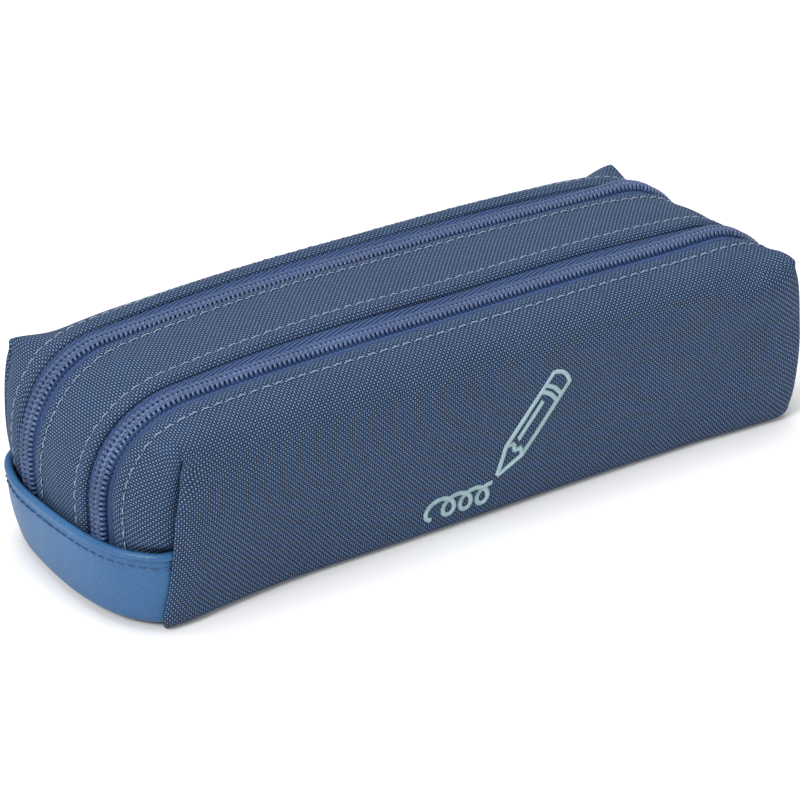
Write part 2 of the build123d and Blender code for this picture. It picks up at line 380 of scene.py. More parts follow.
# over-and-under yarns: height, how much of a yarn's crest shows, and a number for each yarn
def makeWeaveGroup():
    inputs = {"Lay": None, "Yarn": 0.0007}
    w, given, found = newGroup("plainWeave", inputs, ("Height", "Crest", "Melange", "Warp"))
    yarnsPerMetre = w.math("DIVIDE", 1.0, given["Yarn"])
    scaled = w.add("ShaderNodeVectorMath", {0: given["Lay"], "Scale": yarnsPerMetre}, operation="SCALE")
    u, v = w.split(scaled.outputs[0])[:2]

    def yarn(a, b, shift):
        index = w.math("FLOOR", a)
        cross = w.math("SINE", w.times(w.math("FRACT", a), math.pi))
        phase = w.math("ADD", w.minus(b, 0.5 - shift), index)
        over = w.swing("COSINE", w.times(phase, math.pi))
        place = {0: w.times(index, 7.3), 1: w.times(b, 0.11), 2: 3.7 * shift}
        tone = w.noise(w.add("ShaderNodeCombineXYZ", place).outputs[0], 1.0, 1.0)
        return w.times(w.math("POWER", cross, 0.6), over), tone

    warp, warpTone = yarn(u, v, 0.0)
    weft, weftTone = yarn(v, u, 1.0)
    height = w.math("MAXIMUM", warp, weft)
    isWarp = w.ramp(w.minus(warp, weft), -0.15, 0.15)
    tone = w.math("ADD", w.times(isWarp, w.minus(warpTone, weftTone)), weftTone)
    crest = w.ramp(height, 0.45, 0.95)
    for value, socket in zip((height, crest, tone, isWarp), found):
        w.put(value, socket)
    return w.tree


# slanting ribs along both margins of a tape, fading towards its coil
def makeTwillGroup():
    inputs = {"Lay": None, "Rib": 0.0030, "Slant": 3.6, "From": 0.0030, "To": 0.0040}
    w, given, found = newGroup("slantingRibs", inputs, ("Height", "Margin"))
    u, v = w.split(given["Lay"])[:2]
    slope = w.math("ADD", u, w.times(v, given["Slant"]))
    ribs = w.swing("SINE", w.times(w.math("DIVIDE", slope, given["Rib"]), 2 * math.pi))
    span = w.minus(given["To"], given["From"])
    away = w.minus(w.math("ABSOLUTE", v), given["From"])
    margin = w.math("DIVIDE", away, span, clamp=True)
    w.put(w.times(ribs, margin), found["Height"])
    w.put(margin, found["Margin"])
    return w.tree


# slow patches of wear and dust, in place of an even finish
def makeWearGroup():
    inputs = {"Place": None, "Amount": 0.2}
    w, given, found = newGroup("handling", inputs, ("Tone", "Rub"))
    large = w.noise(given["Place"], 24.0, 4.0, 0.6)
    small = w.noise(given["Place"], 420.0, 2.0, 0.6)
    both = w.math("ADD", w.times(large, 0.65), w.times(small, 0.35))
    w.put(w.math("MULTIPLY_ADD", w.minus(both, 0.5), given["Amount"], 1.0), found["Tone"])
    w.put(w.ramp(large, 0.5, 0.72), found["Rub"])
    return w.tree


weaveGroup = makeWeaveGroup()
twillGroup = makeTwillGroup()
wearGroup = makeWearGroup()


def newMaterial(name, **fixed):
    material = bpy.data.materials.new(name)
    material.use_nodes = True
    w = Wiring(material.node_tree)
    w.material = material
    w.shader = material.node_tree.nodes["Principled BSDF"].inputs
    for label, value in fixed.items():
        w.shader[label.replace("_", " ")].default_value = value
    return w


def placeGroup(w, group, **given):
    return w.add("ShaderNodeGroup", given, node_tree=group).outputs


def layOf(w):
    return w.add("ShaderNodeAttribute", attribute_name="clothLay").outputs["Vector"]


def placeOf(w):
    return w.add("ShaderNodeTexCoord").outputs["Object"]


def wearOf(w, amount):
    return placeGroup(w, wearGroup, Place=placeOf(w), Amount=amount)


# a color given in parts of 255, as the shader's linear one
def rgb(*parts):
    return (*(((part / 255 + 0.055) / 1.055) ** 2.4 for part in parts), 1.0)


# the color times a tone, the roughness, and a bump of some depth in metres
def surface(w, color, tone, roughness, height, depth):
    gray = w.add("ShaderNodeCombineColor", {0: tone, 1: tone, 2: tone})
    w.put(w.mixColor(1.0, color, gray.outputs[0], "MULTIPLY"), w.shader["Base Color"])
    w.put(roughness, w.shader["Roughness"])
    bump = w.add("ShaderNodeBump", {"Strength": 1.0, "Distance": depth, "Height": height})
    w.put(bump.outputs[0], w.shader["Normal"])
    return w.material


# the weave's colours carry painted light: the warp is painted lighter and the weft darker than the
# cloth's own navy, as painted sheen on each yarn direction, and gap is painted shade between the yarns
clothLook = {
    "yarn": 0.00068,
    "warp": rgb(104, 132, 170),
    "weft": rgb(54, 76, 110),
    "gap": rgb(16, 27, 47),
    "melange": 0.5,
    "bump": 0.00025,
}


def makeClothMaterial(name, look, fromLay=True):
    w = newMaterial(name, Specular_IOR_Level=0.2)
    lay = layOf(w) if fromLay else placeOf(w)
    weave = placeGroup(w, weaveGroup, Lay=lay, Yarn=look["yarn"])
    # painted light: the yarn crests get the lighter yarn colours as painted highlights, and the low
    # places between them get the gap colour as painted shade
    yarns = w.mixColor(weave["Warp"], look["weft"], look["warp"])
    color = w.mixColor(weave["Crest"], look["gap"], yarns)
    own = w.minus(weave["Melange"], 0.5)
    tone = w.math("MULTIPLY_ADD", own, look["melange"], wearOf(w, 0.22)["Tone"])
    roughness = w.ramp(weave["Height"], 0.2, 1.0, 0.85, 0.6)
    return surface(w, color, tone, roughness, weave["Height"], look["bump"])


# the lining weave has the same painted light: the warp is painted lighter and the weft darker as painted
# sheen, and gap is painted shade between the yarns
liningLook = dict(
    clothLook,
    yarn=0.0004,
    warp=rgb(60, 70, 96),
    weft=rgb(40, 50, 76),
    gap=rgb(16, 22, 38),
)
clothMaterial = makeClothMaterial("navyCloth", clothLook)
liningMaterial = makeClothMaterial("liningCloth", liningLook, fromLay=False)


zipLook = {
    "tape": rgb(58, 81, 125),
    # the tape's lighter colour is a painted highlight on its yarn crests, and its darkest colour is
    # painted shade in the valleys between its ribs
    "tapeCrestHighlight": rgb(86, 112, 160),
    "tapeValleyShade": rgb(24, 38, 70),
    "coil": rgb(53, 75, 116),
    "coilRubbed": rgb(77, 101, 146),
    "enamel": rgb(46, 58, 88),
    "bareMetal": rgb(150, 152, 158),
}


def makeTapeMaterial():
    w = newMaterial("zipTape", Specular_IOR_Level=0.25)
    lay = layOf(w)
    ribs = placeGroup(w, twillGroup, Lay=lay)
    fine = placeGroup(w, weaveGroup, Lay=lay, Yarn=0.00035)
    # painted shade: the valleys between the slanting ribs are coloured dark, and the fine weave's crests
    # are lifted as a painted highlight
    valleyShade = w.times(ribs["Margin"], w.minus(1.0, w.ramp(ribs["Height"], 0.15, 0.7)))
    color = w.mixColor(w.times(fine["Crest"], 0.4), zipLook["tape"], zipLook["tapeCrestHighlight"])
    color = w.mixColor(valleyShade, color, zipLook["tapeValleyShade"])
    roughness = w.ramp(ribs["Height"], 0.0, 1.0, 0.75, 0.55)
    both = w.math("MULTIPLY_ADD", fine["Height"], 0.25, ribs["Height"])
    return surface(w, color, wearOf(w, 0.2)["Tone"], roughness, both, 0.00025)


def makeCoilMaterial():
    w = newMaterial("nylonCoil", IOR=1.53, Specular_IOR_Level=0.6)
    wear = wearOf(w, 0.5)
    color = w.mixColor(wear["Rub"], zipLook["coil"], zipLook["coilRubbed"])
    roughness = w.ramp(wear["Tone"], 0.85, 1.15, 0.18, 0.34)
    return surface(w, color, wear["Tone"], roughness, w.noise(placeOf(w), 2500.0, 2.0), 0.00003)


# the twist of each thread is painted: its crests in the lit colour as painted highlight, its grooves in
# the shaded colour as painted shade
def makeThreadMaterial(name, litPly, shadedPly, roughness):
    w = newMaterial(name, Sheen_Weight=0.2, Sheen_Roughness=0.35)
    u, v = w.split(layOf(w))[:2]
    slant = w.math("MULTIPLY_ADD", v, 4.0, w.times(u, 3.0))
    twist = w.swing("SINE", w.times(slant, 5200.0))
    color = w.mixColor(twist, shadedPly, litPly)
    dull = w.ramp(twist, 0.0, 1.0, roughness + 0.12, roughness)
    return surface(w, color, wearOf(w, 0.5)["Tone"], dull, twist, 0.00006)


leatherLook = {
    "pits": rgb(35, 90, 136),
    "crests": rgb(28, 78, 122),
    "rubbed": rgb(56, 104, 148),
}


def makeLeatherMaterial():
    w = newMaterial("tabLeather", Specular_IOR_Level=0.5)
    place = placeOf(w)
    cells = w.add("ShaderNodeTexVoronoi", {"Vector": place, "Scale": 1500.0}, feature="F1")
    grain = w.ramp(cells.outputs["Distance"], 0.05, 0.7)
    pores = w.noise(place, 3800.0, 2.0, 0.6)
    wear = wearOf(w, 0.22)
    color = w.mixColor(grain, leatherLook["pits"], leatherLook["crests"])
    color = w.mixColor(w.times(wear["Rub"], 0.35), color, leatherLook["rubbed"])
    height = w.math("MULTIPLY_ADD", pores, 0.5, w.times(grain, -1.0))
    return surface(w, color, wear["Tone"], w.ramp(pores, 0.3, 0.7, 0.40, 0.52), height, 0.00004)


def makeMetalMaterial():
    w = newMaterial("enamelledMetal", Coat_Roughness=0.15)
    place = placeOf(w)
    wear = wearOf(w, 0.4)
    scratches = w.ramp(w.noise(place, 900.0, 5.0, 0.7), 0.62, 0.70)
    rubbed = w.times(scratches, wear["Rub"])
    color = w.mixColor(rubbed, zipLook["enamel"], zipLook["bareMetal"])
    w.put(w.math("MULTIPLY_ADD", rubbed, 0.6, 0.35), w.shader["Metallic"])
    roughness = w.ramp(wear["Tone"], 0.8, 1.2, 0.28, 0.45)
    return surface(w, color, wear["Tone"], roughness, w.noise(place, 1600.0, 3.0), 0.00002)


tapeMaterial = makeTapeMaterial()
coilMaterial = makeCoilMaterial()
# each thread's first colour is the painted highlight on the crests of its twist, and the second is the
# painted shade in its grooves
topThread = makeThreadMaterial("topThread", rgb(166, 182, 206), rgb(112, 130, 160), 0.5)
tabThread = makeThreadMaterial("tabThread", rgb(52, 104, 160), rgb(22, 56, 104), 0.4)
coilThread = makeThreadMaterial("coilThread", rgb(76, 100, 146), rgb(38, 56, 92), 0.45)
signThread = makeThreadMaterial("signThread", rgb(206, 230, 234), rgb(150, 192, 202), 0.32)
leatherMaterial = makeLeatherMaterial()
metalMaterial = makeMetalMaterial()
print("stage: materials")


panel = {
    "topDepth": 39.3,       # front face at the top edge
    "rollZ": 43.5,          # where the top roll has become the face
    "faceZ": 28.0,          # from here down the face follows its own form
    "baseDepth": 34.6,
    "flare": {"front": (2.8, 4.4), "rear": (3.4, 3.4)},     # the foot stands out more at both ends
    "hollow": 2.1,          # of the front face, left of its middle
    "baseRound": 3.5,
    "endTurn": 0.6,         # the ends turn in under the case less than the sides
    "rollSpan": 9.0,        # cloth in the roll beside a corner seam
    "joinBack": 5.2,        # from there back to where the face is flat again
    "earFrom": 70,          # distance along, where the top edge starts to turn towards the ear
    "reachTo": 112,         # and where the cloth past the ear is all end cloth
    "firstReach": (9.0, 6.0),   # how straight it leaves the fold: in the middle and at the ear
    "lastReach": (7.0, 5.0),    # and how straight it reaches the edge line
    "freeRows": 26,         # rows of the mesh above faceZ
    "faceRows": 28,         # below it
    "turnRows": 9,          # in the turn under the case
    "bandRows": 34,         # and from the fold to the edge line
}

# each corner: its seam from the base up to the ear, as heights, half lengths and half depths; how
# pointed the ear is; how far the face rolls over the seam and stands out beside it; from which
# distance along the end cloth dives into the seam, over what share of the gap, and how far it
# turns back on itself above the tab
plainCorner = {
    "pointed": 1.0,
    "over": 1.7,
    "out": 2.0,
    "diveFrom": 116,
    "diveShare": 0.36,
    "turnBack": 0.0,
}
corners = {
    ("front", -1): {
        "heights": (0, 4, 12, 22, 36, 48.6),
        "lengths": (98.4, 98.4, 97.0, 95.6, 94.8, 95.8),
        "depths": (34.0, 34.2, 34.6, 34.8, 35.0, 37.2),
        "pointed": 0.1,
        "over": 5.2,
        "out": 4.4,
        "diveFrom": 104,
        "diveShare": 0.34,
        "turnBack": 1.0,
    },
    ("front", 1): dict(
        plainCorner,
        heights=(0, 4, 16, 36, 50.4),
        lengths=(100.6, 101.9, 102.6, 101.2, 98.0),
        depths=(33.6, 35.0, 37.6, 38.3, 39.9),
    ),
    ("rear", -1): dict(
        plainCorner,
        heights=(0, 4, 12, 22, 36, 50.4),
        lengths=(96.0, 97.4, 99.8, 101.6, 101.6, 98.9),
        depths=(34.4, 35.6, 36.6, 37.4, 38.2, 39.9),
        diveFrom=112,
    ),
    ("rear", 1): dict(
        plainCorner,
        heights=(0, 4, 16, 36, 50.4),
        lengths=(101.4, 102.7, 103.4, 102.4, 98.9),
        depths=(34.6, 36.0, 38.0, 38.3, 39.9),
    ),
}
earS = 99.0         # distance along, at which both ears stand

# soft folds of the faces: from and to along and up, half width, height
softFolds = {
    "front": (
        ((97, 46), (52, 22), 6.0, 0.9),
        ((88, 36), (70, 8), 7.0, -0.8),
        ((99, 30), (82, 10), 5.0, 0.6),
        ((60, 38), (20, 30), 9.0, -0.45),
        ((-97, 44), (-64, 24), 6.0, 0.7),
        ((-92, 30), (-86, 6), 5.0, -0.5),
        ((-50, 40), (-10, 14), 10.0, 0.4),
    ),
    "rear": (
        ((97, 46), (60, 26), 6.0, 0.8),
        ((-97, 46), (-58, 24), 6.0, 0.9),
        ((-86, 34), (-72, 8), 7.0, -0.7),
        ((70, 30), (20, 14), 10.0, -0.5),
        ((-30, 38), (24, 26), 9.0, 0.4),
    ),
}


# distances along for the rows of the panels and the strip, closer together around the ears
def samplesAlong():
    near, far = 86, 106
    pieces = [np.arange(-pathEnd, -far, 1.0), np.arange(-far, -near, 0.4), np.arange(-near, near, 0.9)]
    pieces += [np.arange(near, far, 0.4), np.arange(far, pathEnd, 1.0), [-earS, earS, pathEnd]]
    return np.unique(np.round(np.concatenate(pieces), 3))


pathSamples = samplesAlong()
faceSamples = pathSamples[np.abs(pathSamples) <= earS]


# left or right values of a panel's two corners
def atCorner(which, s, value):
    return np.where(np.asarray(s) < 0, *(value(corners[(which, side)]) for side in (-1, 1)))


def cornerPart(which, s, part):
    return atCorner(which, s, lambda corner: corner[part])


# how far the cloth has turned in under the case at a height
def turnedUnder(z):
    r = panel["baseRound"]
    rest = 1 - np.clip(z / r, 0, 1)
    return r * (1 - np.sqrt(1 - rest * rest))


# the corner seam, as half length and half depth at a height
def seamLine(which, s, z):
    found = []
    up = np.maximum(z, panel["baseRound"])
    for part, share in (("lengths", panel["endTurn"]), ("depths", 1.0)):
        seam = atCorner(which, s, lambda corner: smoothly(up, corner["heights"], corner[part]))
        found.append(seam - share * turnedUnder(z))
    return found


# the panel's edge line: along the top it is where the roll meets the face, past the ears the seam
def edgeLine(which, s):
    s = np.asarray(s, float)
    a, side = np.abs(s), np.sign(s)
    earX, earY, earZ = [
        atCorner(which, s, lambda corner: corner[part][-1]) for part in ("lengths", "depths", "heights")
    ]
    toEar = ease(60, earS, a) ** 2
    seamZ = earZ * np.clip((pathEnd - a) / (pathEnd - earS), 0, 1)
    seamX, seamY = seamLine(which, s, seamZ)
    onTop = a <= earS
    x = np.where(onTop, a * earX / earS, seamX)
    y = np.where(onTop, along(panel["topDepth"], earY, toEar), seamY)
    z = np.where(onTop, along(panel["rollZ"], earZ, toEar), seamZ)
    return stacked(x * side, y, z)


# the way that the cloth runs as it reaches the edge line
def edgeDirection(which, s):
    s = np.asarray(s, float)
    a, side = np.abs(s), np.sign(s)
    top = np.array([0.0, 0.02, -1.0])
    blunt, sharp = np.array([(0.05, 0.30, -0.95), (0.30, 0.86, -0.42)])
    ear = mix(blunt, sharp, cornerPart(which, s, "pointed"))
    back = cornerPart(which, s, "turnBack") * ease(19, 25, edgeLine(which, s)[..., 2])
    plain, turned = np.array([(-0.70, 0.71, 0.0), (-0.86, -0.50, 0.0)])
    seam = mix(plain, turned, back)
    dive = ease(earS, cornerPart(which, s, "diveFrom"), a)
    way = unit(mix(mix(top, ear, ease(panel["earFrom"], earS - 1, a)), seam, dive))
    way[..., 0] *= side
    return way


def bezier(points, t):
    weights = ((1 - t) ** 3, 3 * t * (1 - t) ** 2, 3 * t ** 2 * (1 - t), t ** 3)
    return sum(w * p for w, p in zip(weights, points))


# depths in these functions are counted outward, so both panels are made alike
def outwardSign(which):
    return -1 if which == "front" else 1


# a panel's folded edge beside its zip
def foldLine(which, s):
    sign = outwardSign(which)
    return onPath(s, sign * outerFold, 0.0) * [1, sign, 1]


def keepAboveFloor(grid):
    grid[..., 2] = np.maximum(grid[..., 2], cloth["floorGap"])


# the cloth between a fold and the edge line, bent from one's direction into the other's
def bandPoint(which, s, t):
    start = foldLine(which, s)
    end = edgeLine(which, s)
    a = np.abs(s)
    gap = np.linalg.norm(end - start, axis=-1)
    nearEar, pastEar = ease(panel["earFrom"], earS, a), ease(earS, panel["reachTo"], a)
    lastGap = gap * cornerPart(which, s, "diveShare")
    firstReach = along(along(*panel["firstReach"], nearEar), gap * 0.38, pastEar)
    lastReach = along(along(*panel["lastReach"], nearEar), lastGap, pastEar)
    second = start + firstReach[:, None] * np.array([0.0, 1.0, 0.0])
    third = end - lastReach[:, None] * edgeDirection(which, s)
    points = [p[:, None] for p in (start, second, third, end)]
    return bezier(points, np.asarray(t)[None, :, None])


def surfaceNormals(grid):
    du = np.gradient(grid, axis=0)
    dv = np.gradient(grid, axis=1)
    return unit(np.cross(du, dv))


# lengths along each column, counted from the middle of the case
def lengthsAlong(grid, s):
    lengths = np.linalg.norm(np.diff(grid, axis=0, prepend=grid[:1]), axis=-1).cumsum(axis=0)
    return lengths - lengths[np.searchsorted(s, 0.0)]


# raised double cloth beside a fold, and the valley that the stitches pull in
def hemHeight(d):
    rise = cloth["hemRise"] * (1 - ease(cloth["stitchLine"] - 0.3, cloth["stitchLine"] + 0.9, d))
    sink = cloth["stitchSink"] * hump(d - cloth["stitchLine"], 0.55)
    return rise * ease(-0.4, 1.2, d) - sink


# the turned-under edge, as distances in from the fold's outermost line and heights
def foldRows(r):
    angles = np.radians(np.linspace(270, 100, 9))
    y = np.concatenate([[cloth["tuck"], r + 1.2], r + r * np.cos(angles)])
    h = np.concatenate([[-2 * r - 0.1, -2 * r], -r + r * np.sin(angles)])
    return y, h


# the band with its turned-under edge, hem and waves
def makeBand(which):
    s = pathSamples
    t = np.linspace(0.0, 1.0, panel["bandRows"])
    grid = bandPoint(which, s, t)
    steps = stepsAcross(grid)
    waves = wave(s, 3)[:, None] * np.exp(-steps / 4.0)
    fade = 1 - ease(0.75, 1.0, t)
    grid = grid + surfaceNormals(grid) * ((hemHeight(steps) + 0.5 * waves) * fade)[..., None]
    keepAboveFloor(grid)
    foldY, foldH = foldRows(cloth["foldRadius"])
    x, z, nx, nz = pathFrame(s)
    outward = stacked(nx, 0.0, nz)
    height = foldH + 0.5 * wave(s, 3)[:, None]
    edge = foldLine(which, s)[:, None] + outward[:, None] * height[..., None]
    edge[..., 1] += foldY - foldY[-1] + 0.25 * wave(s, 5)[:, None]
    keepAboveFloor(edge)
    whole = np.concatenate([edge, grid[:, 1:]], axis=1)
    across = stepsAcross(whole)
    across = across - across[:, len(foldY) - 1 : len(foldY)]
    return whole, stacked(lengthsAlong(whole, s), across), across[:, -1]


def foldRelief(which, x, z):
    height = np.zeros(np.broadcast(x, z).shape)
    for (x0, z0), (x1, z1), width, rise in softFolds[which]:
        dx, dz = x1 - x0, z1 - z0
        reach = np.clip(((x - x0) * dx + (z - z0) * dz) / (dx * dx + dz * dz), 0, 1)
        gap = (x - x0 - reach * dx) ** 2 + (z - z0 - reach * dz) ** 2
        height = height + rise * (1 - 0.6 * reach) * np.exp(-gap / width ** 2)
    return height


def faceDepth(which, x, z):
    share = np.abs(x) / 100
    flare = np.where(x < 0, *panel["flare"][which]) * share ** 2.2
    hollow = panel["hollow"] * hump(x + 64, 28) if which == "front" else 0.0
    low = panel["baseDepth"] + flare - hollow
    high = panel["topDepth"] + 0.3 * share ** 2
    belly = 0.6 * np.sin(np.pi * np.clip(z / 50, 0, 1)) * (1 - share ** 4 * 0.7)
    depth = along(low, high, np.clip(z / panel["rollZ"], 0, 1)) + belly
    slow = 0.16 * np.sin(x / 13 + z / 17) + 0.12 * np.sin(x / 7.3 - z / 9 + 2)
    return depth + foldRelief(which, x, z) + slow * np.clip(z / 12, 0, 1)


# the face at a height: places along the panel, rolled inward at each corner seam
def facePoint(which, s, z, grow=1.0):
    a, side = np.abs(s), np.sign(s)
    joinS = earS - panel["rollSpan"]
    seamX, seamY = seamLine(which, s, z)
    over = cornerPart(which, s, "over") * grow
    joinX = seamX - panel["joinBack"]
    t = np.clip((a - joinS) / panel["rollSpan"], 0, 1)
    mid = faceDepth(which, joinX * side, z)
    rollX = bezier((joinX, seamX + over * 0.9, seamX + over, seamX), t)
    rollY = bezier((mid, mid + 0.2, seamY + cornerPart(which, s, "out") * 0.4, seamY), t)
    flatX = a * joinX / joinS
    x = np.where(a > joinS, rollX, flatX)
    y = np.where(a > joinS, rollY, faceDepth(which, flatX * side, z))
    return stacked(x * side, y, z)


# the face from the edge line down, and its turn in under the case
def makeFace(which, bandDepth):
    s = faceSamples
    a, side = np.abs(s), np.sign(s)
    top = edgeLine(which, s)
    low = facePoint(which, s, panel["faceZ"])
    up = unit(facePoint(which, s, panel["faceZ"] + 1.0) - low)
    r, freeRows = panel["baseRound"], panel["freeRows"]
    reach = np.linalg.norm(top - low, axis=-1)[:, None] / 3
    points = (top, top + reach * edgeDirection(which, s), low + reach * up, low)
    inRoll = np.clip((a - earS + panel["rollSpan"]) / panel["rollSpan"], 0, 1) ** 2
    rows = []
    for g in np.linspace(0, 1, freeRows):
        free = bezier(points, g)
        z = along(top[:, 2], panel["faceZ"], g)
        rolled = facePoint(which, s, z, ease(0, 0.30, g))
        rows.append(mix(free, rolled, inRoll * ease(0, 0.22, g)))
    for z in np.linspace(panel["faceZ"], r, panel["faceRows"])[1:]:
        rows.append(facePoint(which, s, z))
    last = rows[-1]
    for turn in np.linspace(0, math.pi / 2, panel["turnRows"])[1:]:
        row = last.copy()
        row[:, 1] -= r * (1 - math.cos(turn))
        row[:, 0] -= side * ease(80, earS, a) * r * panel["endTurn"] * (1 - math.cos(turn))
        row[:, 2] = r * (1 - math.sin(turn))
        rows.append(row)
    grid = np.stack(rows, axis=1)
    steps = stepsAcross(grid)
    start = np.interp(s, pathSamples, bandDepth)
    lengths = lengthsAlong(grid, s)
    own = ease(0, freeRows - 1, np.arange(grid.shape[1]))
    layX = along(lengths[:, :1], lengths[:, freeRows - 1 : freeRows], own)
    return grid, stacked(layX, start[:, None] + steps)


def makePanel(which):
    band, bandLay, bandDepth = makeBand(which)
    face, faceLay = makeFace(which, bandDepth)
    ways = np.array([1, outwardSign(which), 1])
    mesh = joinGrids(which + "Panel", [(band * ways, bandLay), (face * ways, faceLay)])
    weld(mesh, 0.02)
    name, node = which + "PanelCloth", which + "_panel"
    makeObject(name, mesh, node, clothMaterial, cloth["thickness"])


def plumpness(y):
    return cloth["stripPlump"] * np.cos(np.clip(y / (innerFold - 3.5), -1, 1) * math.pi / 2) ** 1.2


def makeStrip():
    s = pathSamples
    foldY, foldH = foldRows(cloth["stripFold"])
    half = innerFold - foldY[-1]
    inside = np.linspace(-half, half, 44)[1:-1]
    y = np.concatenate([-innerFold + foldY, inside, innerFold - foldY[::-1]])
    d = innerFold - np.abs(y)
    count = len(foldY)
    h = np.concatenate([foldH, (hemHeight(d) + plumpness(y))[count:-count], foldH[::-1]])
    rows = onPath(s[:, None], y, h + cloth["stripRise"])
    edge = np.exp(-d / 3.5)
    front, rear = np.where(y < 0, edge, 0), np.where(y > 0, edge, 0)
    x, z, nx, nz = pathFrame(s)
    lift = 0.6 * (wave(s, 1)[:, None] * front + wave(s, 2)[:, None] * rear)
    rows = rows + stacked(nx, 0.0, nz)[:, None] * lift[..., None]
    keepAboveFloor(rows)
    rows[..., 1] += 0.5 * (wave(s, 7)[:, None] * front - wave(s, 9)[:, None] * rear)
    across = np.hypot(np.diff(y, prepend=y[0]), np.diff(h, prepend=h[0])).cumsum()
    mesh = gridMesh("centreStrip", rows, stacked(s[:, None], across + 200))
    name, node = "centreStripCloth", "centre_strip"
    makeObject(name, mesh, node, clothMaterial, cloth["thickness"])


# how far out an end reaches where it meets the floor, at depths from the middle outward
def floorOutline(end, which):
    s = np.array([end * pathEnd])
    y = np.linspace(0, outerFold, 12)
    sign = outwardSign(which)
    middle = onPath(s, sign * y, 0.0) * [1, sign, 1]
    outline = np.concatenate([middle, bandPoint(which, s, np.linspace(0.05, 1, 16))[0]])
    return outline[:, 1], np.abs(outline[:, 0])


base = {"height": 0.3, "thickness": 0.6}


def makeBase():
    u = np.linspace(-1, 1, 90)
    halves = []
    for which in ("rear", "front"):
        bottom = facePoint(which, faceSamples, panel["baseRound"])
        corner = [float(seamLine(which, end, 0.0)[0]) * end for end in (-1, 1)]
        x = np.where(u < 0, -corner[0] * u, corner[1] * u)
        side = np.interp(x, np.maximum.accumulate(bottom[:, 0]), bottom[:, 1]) - panel["baseRound"]
        y = side[:, None] * np.linspace(0, 1, 24)
        limits = [floorOutline(end, which) for end in (-1, 1)]
        reach = [np.interp(y, *limits[k]) * np.abs(u)[:, None] for k in range(2)]
        x = np.where(u[:, None] < 0, -reach[0], reach[1])
        points = stacked(x, y * outwardSign(which), base["height"])
        halves.append(points[:, ::-1] if which == "front" else points[:, 1:])
    points = np.concatenate([halves[1], halves[0]], axis=1)
    mesh = gridMesh("base", points, points[..., :2])
    makeObject("baseCloth", mesh, "base_panel", clothMaterial, base["thickness"])


makePanel("front")
makePanel("rear")
makeStrip()
makeBase()
print("stage: panels")


zipper = {
    "tapeDrop": 0.8,        # the tape's face below the cloth
    "tapeThickness": 0.6,
    "tapeGap": 4.2,         # from the path's ends to the tapes, and to the coils
    "coilGap": 5.0,
    "pitch": 1.42,
    "wire": 0.39,           # radius of the nylon
    "spread": 0.82,         # the coil's width and height against the turn below
    "flat": 0.85,
    "threadRadius": 0.24,
}


def makeTape(which, side, part, half):
    s = np.arange(-pathEnd + zipper["tapeGap"], pathEnd - zipper["tapeGap"] + 0.1, 1.1)
    middle = side * zipMiddle
    y = middle + half * np.linspace(0.7, 9.4, 14)
    away = np.abs(y - middle)
    curl = 0.45 * (1 - ease(1.9, 2.8, away)) - 0.3 * (away > 5.5)
    rows = onPath(s[:, None], y, -zipper["tapeDrop"] + curl)
    name = f"{which}Tape{part.capitalize()}"
    node = f"{which}_zip_tape_{part}"
    mesh = gridMesh(name, rows, stacked(s[:, None], middle - y))
    makeObject(name, mesh, node, tapeMaterial, zipper["tapeThickness"])


# one turn of the coil: distance from the chain's middle, height, share of a pitch along
coilTurn = np.array([
    (2.75, -0.95, 0.00), (3.00, -0.55, 0.00), (3.02, 0.00, 0.01), (2.86, 0.50, 0.03),
    (2.45, 0.76, 0.05), (1.85, 0.62, 0.07), (1.30, 0.62, 0.09), (0.75, 0.74, 0.12),
    (0.20, 0.72, 0.16), (-0.28, 0.46, 0.22), (-0.45, 0.00, 0.31), (-0.20, -0.42, 0.42),
    (0.60, -0.62, 0.50), (1.80, -0.72, 0.58), (2.70, -0.95, 0.62),
])
# the wire's radius at each of those points, against its own
coilSwell = np.array([1.25, 1.3, 1.3, 1.25, 1.15, 1, 1, 1.05, 1.15, 1.3, 1.25, 1.1, 1, 1.1, 1.25])


# the chain stays flat across: it takes the cloth's place at its own middle
def onChain(s, side, away, h):
    middle = np.full(np.broadcast(s, away).shape, side * zipMiddle)
    points = onPath(s, middle, h)
    points[..., 1] += away
    return points


def makeCoil(which, side, part, half):
    pitch = zipper["pitch"]
    count = int(2 * (pathEnd - zipper["coilGap"]) / pitch)
    at = -pathEnd + zipper["coilGap"] + np.arange(count) * pitch + (0.5 * pitch if half > 0 else 0)
    spread, height, shift = coilTurn.T * [[zipper["spread"]], [zipper["flat"]], [1.0]]
    place = at[:, None] + (shift - 0.25) * pitch
    routes = onChain(place, side, half * spread, height)
    name = f"{which}Coil{part.capitalize()}"
    mesh = tubesMesh(name, routes, zipper["wire"] * coilSwell, sides=7)
    makeObject(name, mesh, f"{which}_zip_coil_{part}", coilMaterial)


# the sewing threads that hold one row of the coil to its tape
def makeCoilThread(which, side, part, half):
    pitch = zipper["pitch"]
    steps = np.arange(-pathEnd + zipper["coilGap"], pathEnd - zipper["coilGap"], pitch / 6)
    phase = steps / pitch * 2 * math.pi + (math.pi if half > 0 else 0)
    routes = []
    for offset, sway in ((1.15, 0.08), (1.6, -0.08)):
        away = half * (offset + sway * np.sin(phase))
        routes.append(onChain(steps, side, away, 0.76 + 0.13 * np.cos(phase + 1.3)))
    swell = zipper["threadRadius"] * (1 + 0.25 * np.cos(phase))
    name = f"{which}CoilThread{part.capitalize()}"
    mesh = tubesMesh(name, routes, np.stack([swell, swell]))
    makeObject(name, mesh, None, coilThread)


for which, side in (("front", -1), ("rear", 1)):
    for part, half in (("outer", side), ("inner", -side)):
        makeTape(which, side, part, half)
        makeCoil(which, side, part, half)
        makeCoilThread(which, side, part, half)
print("stage: zips")


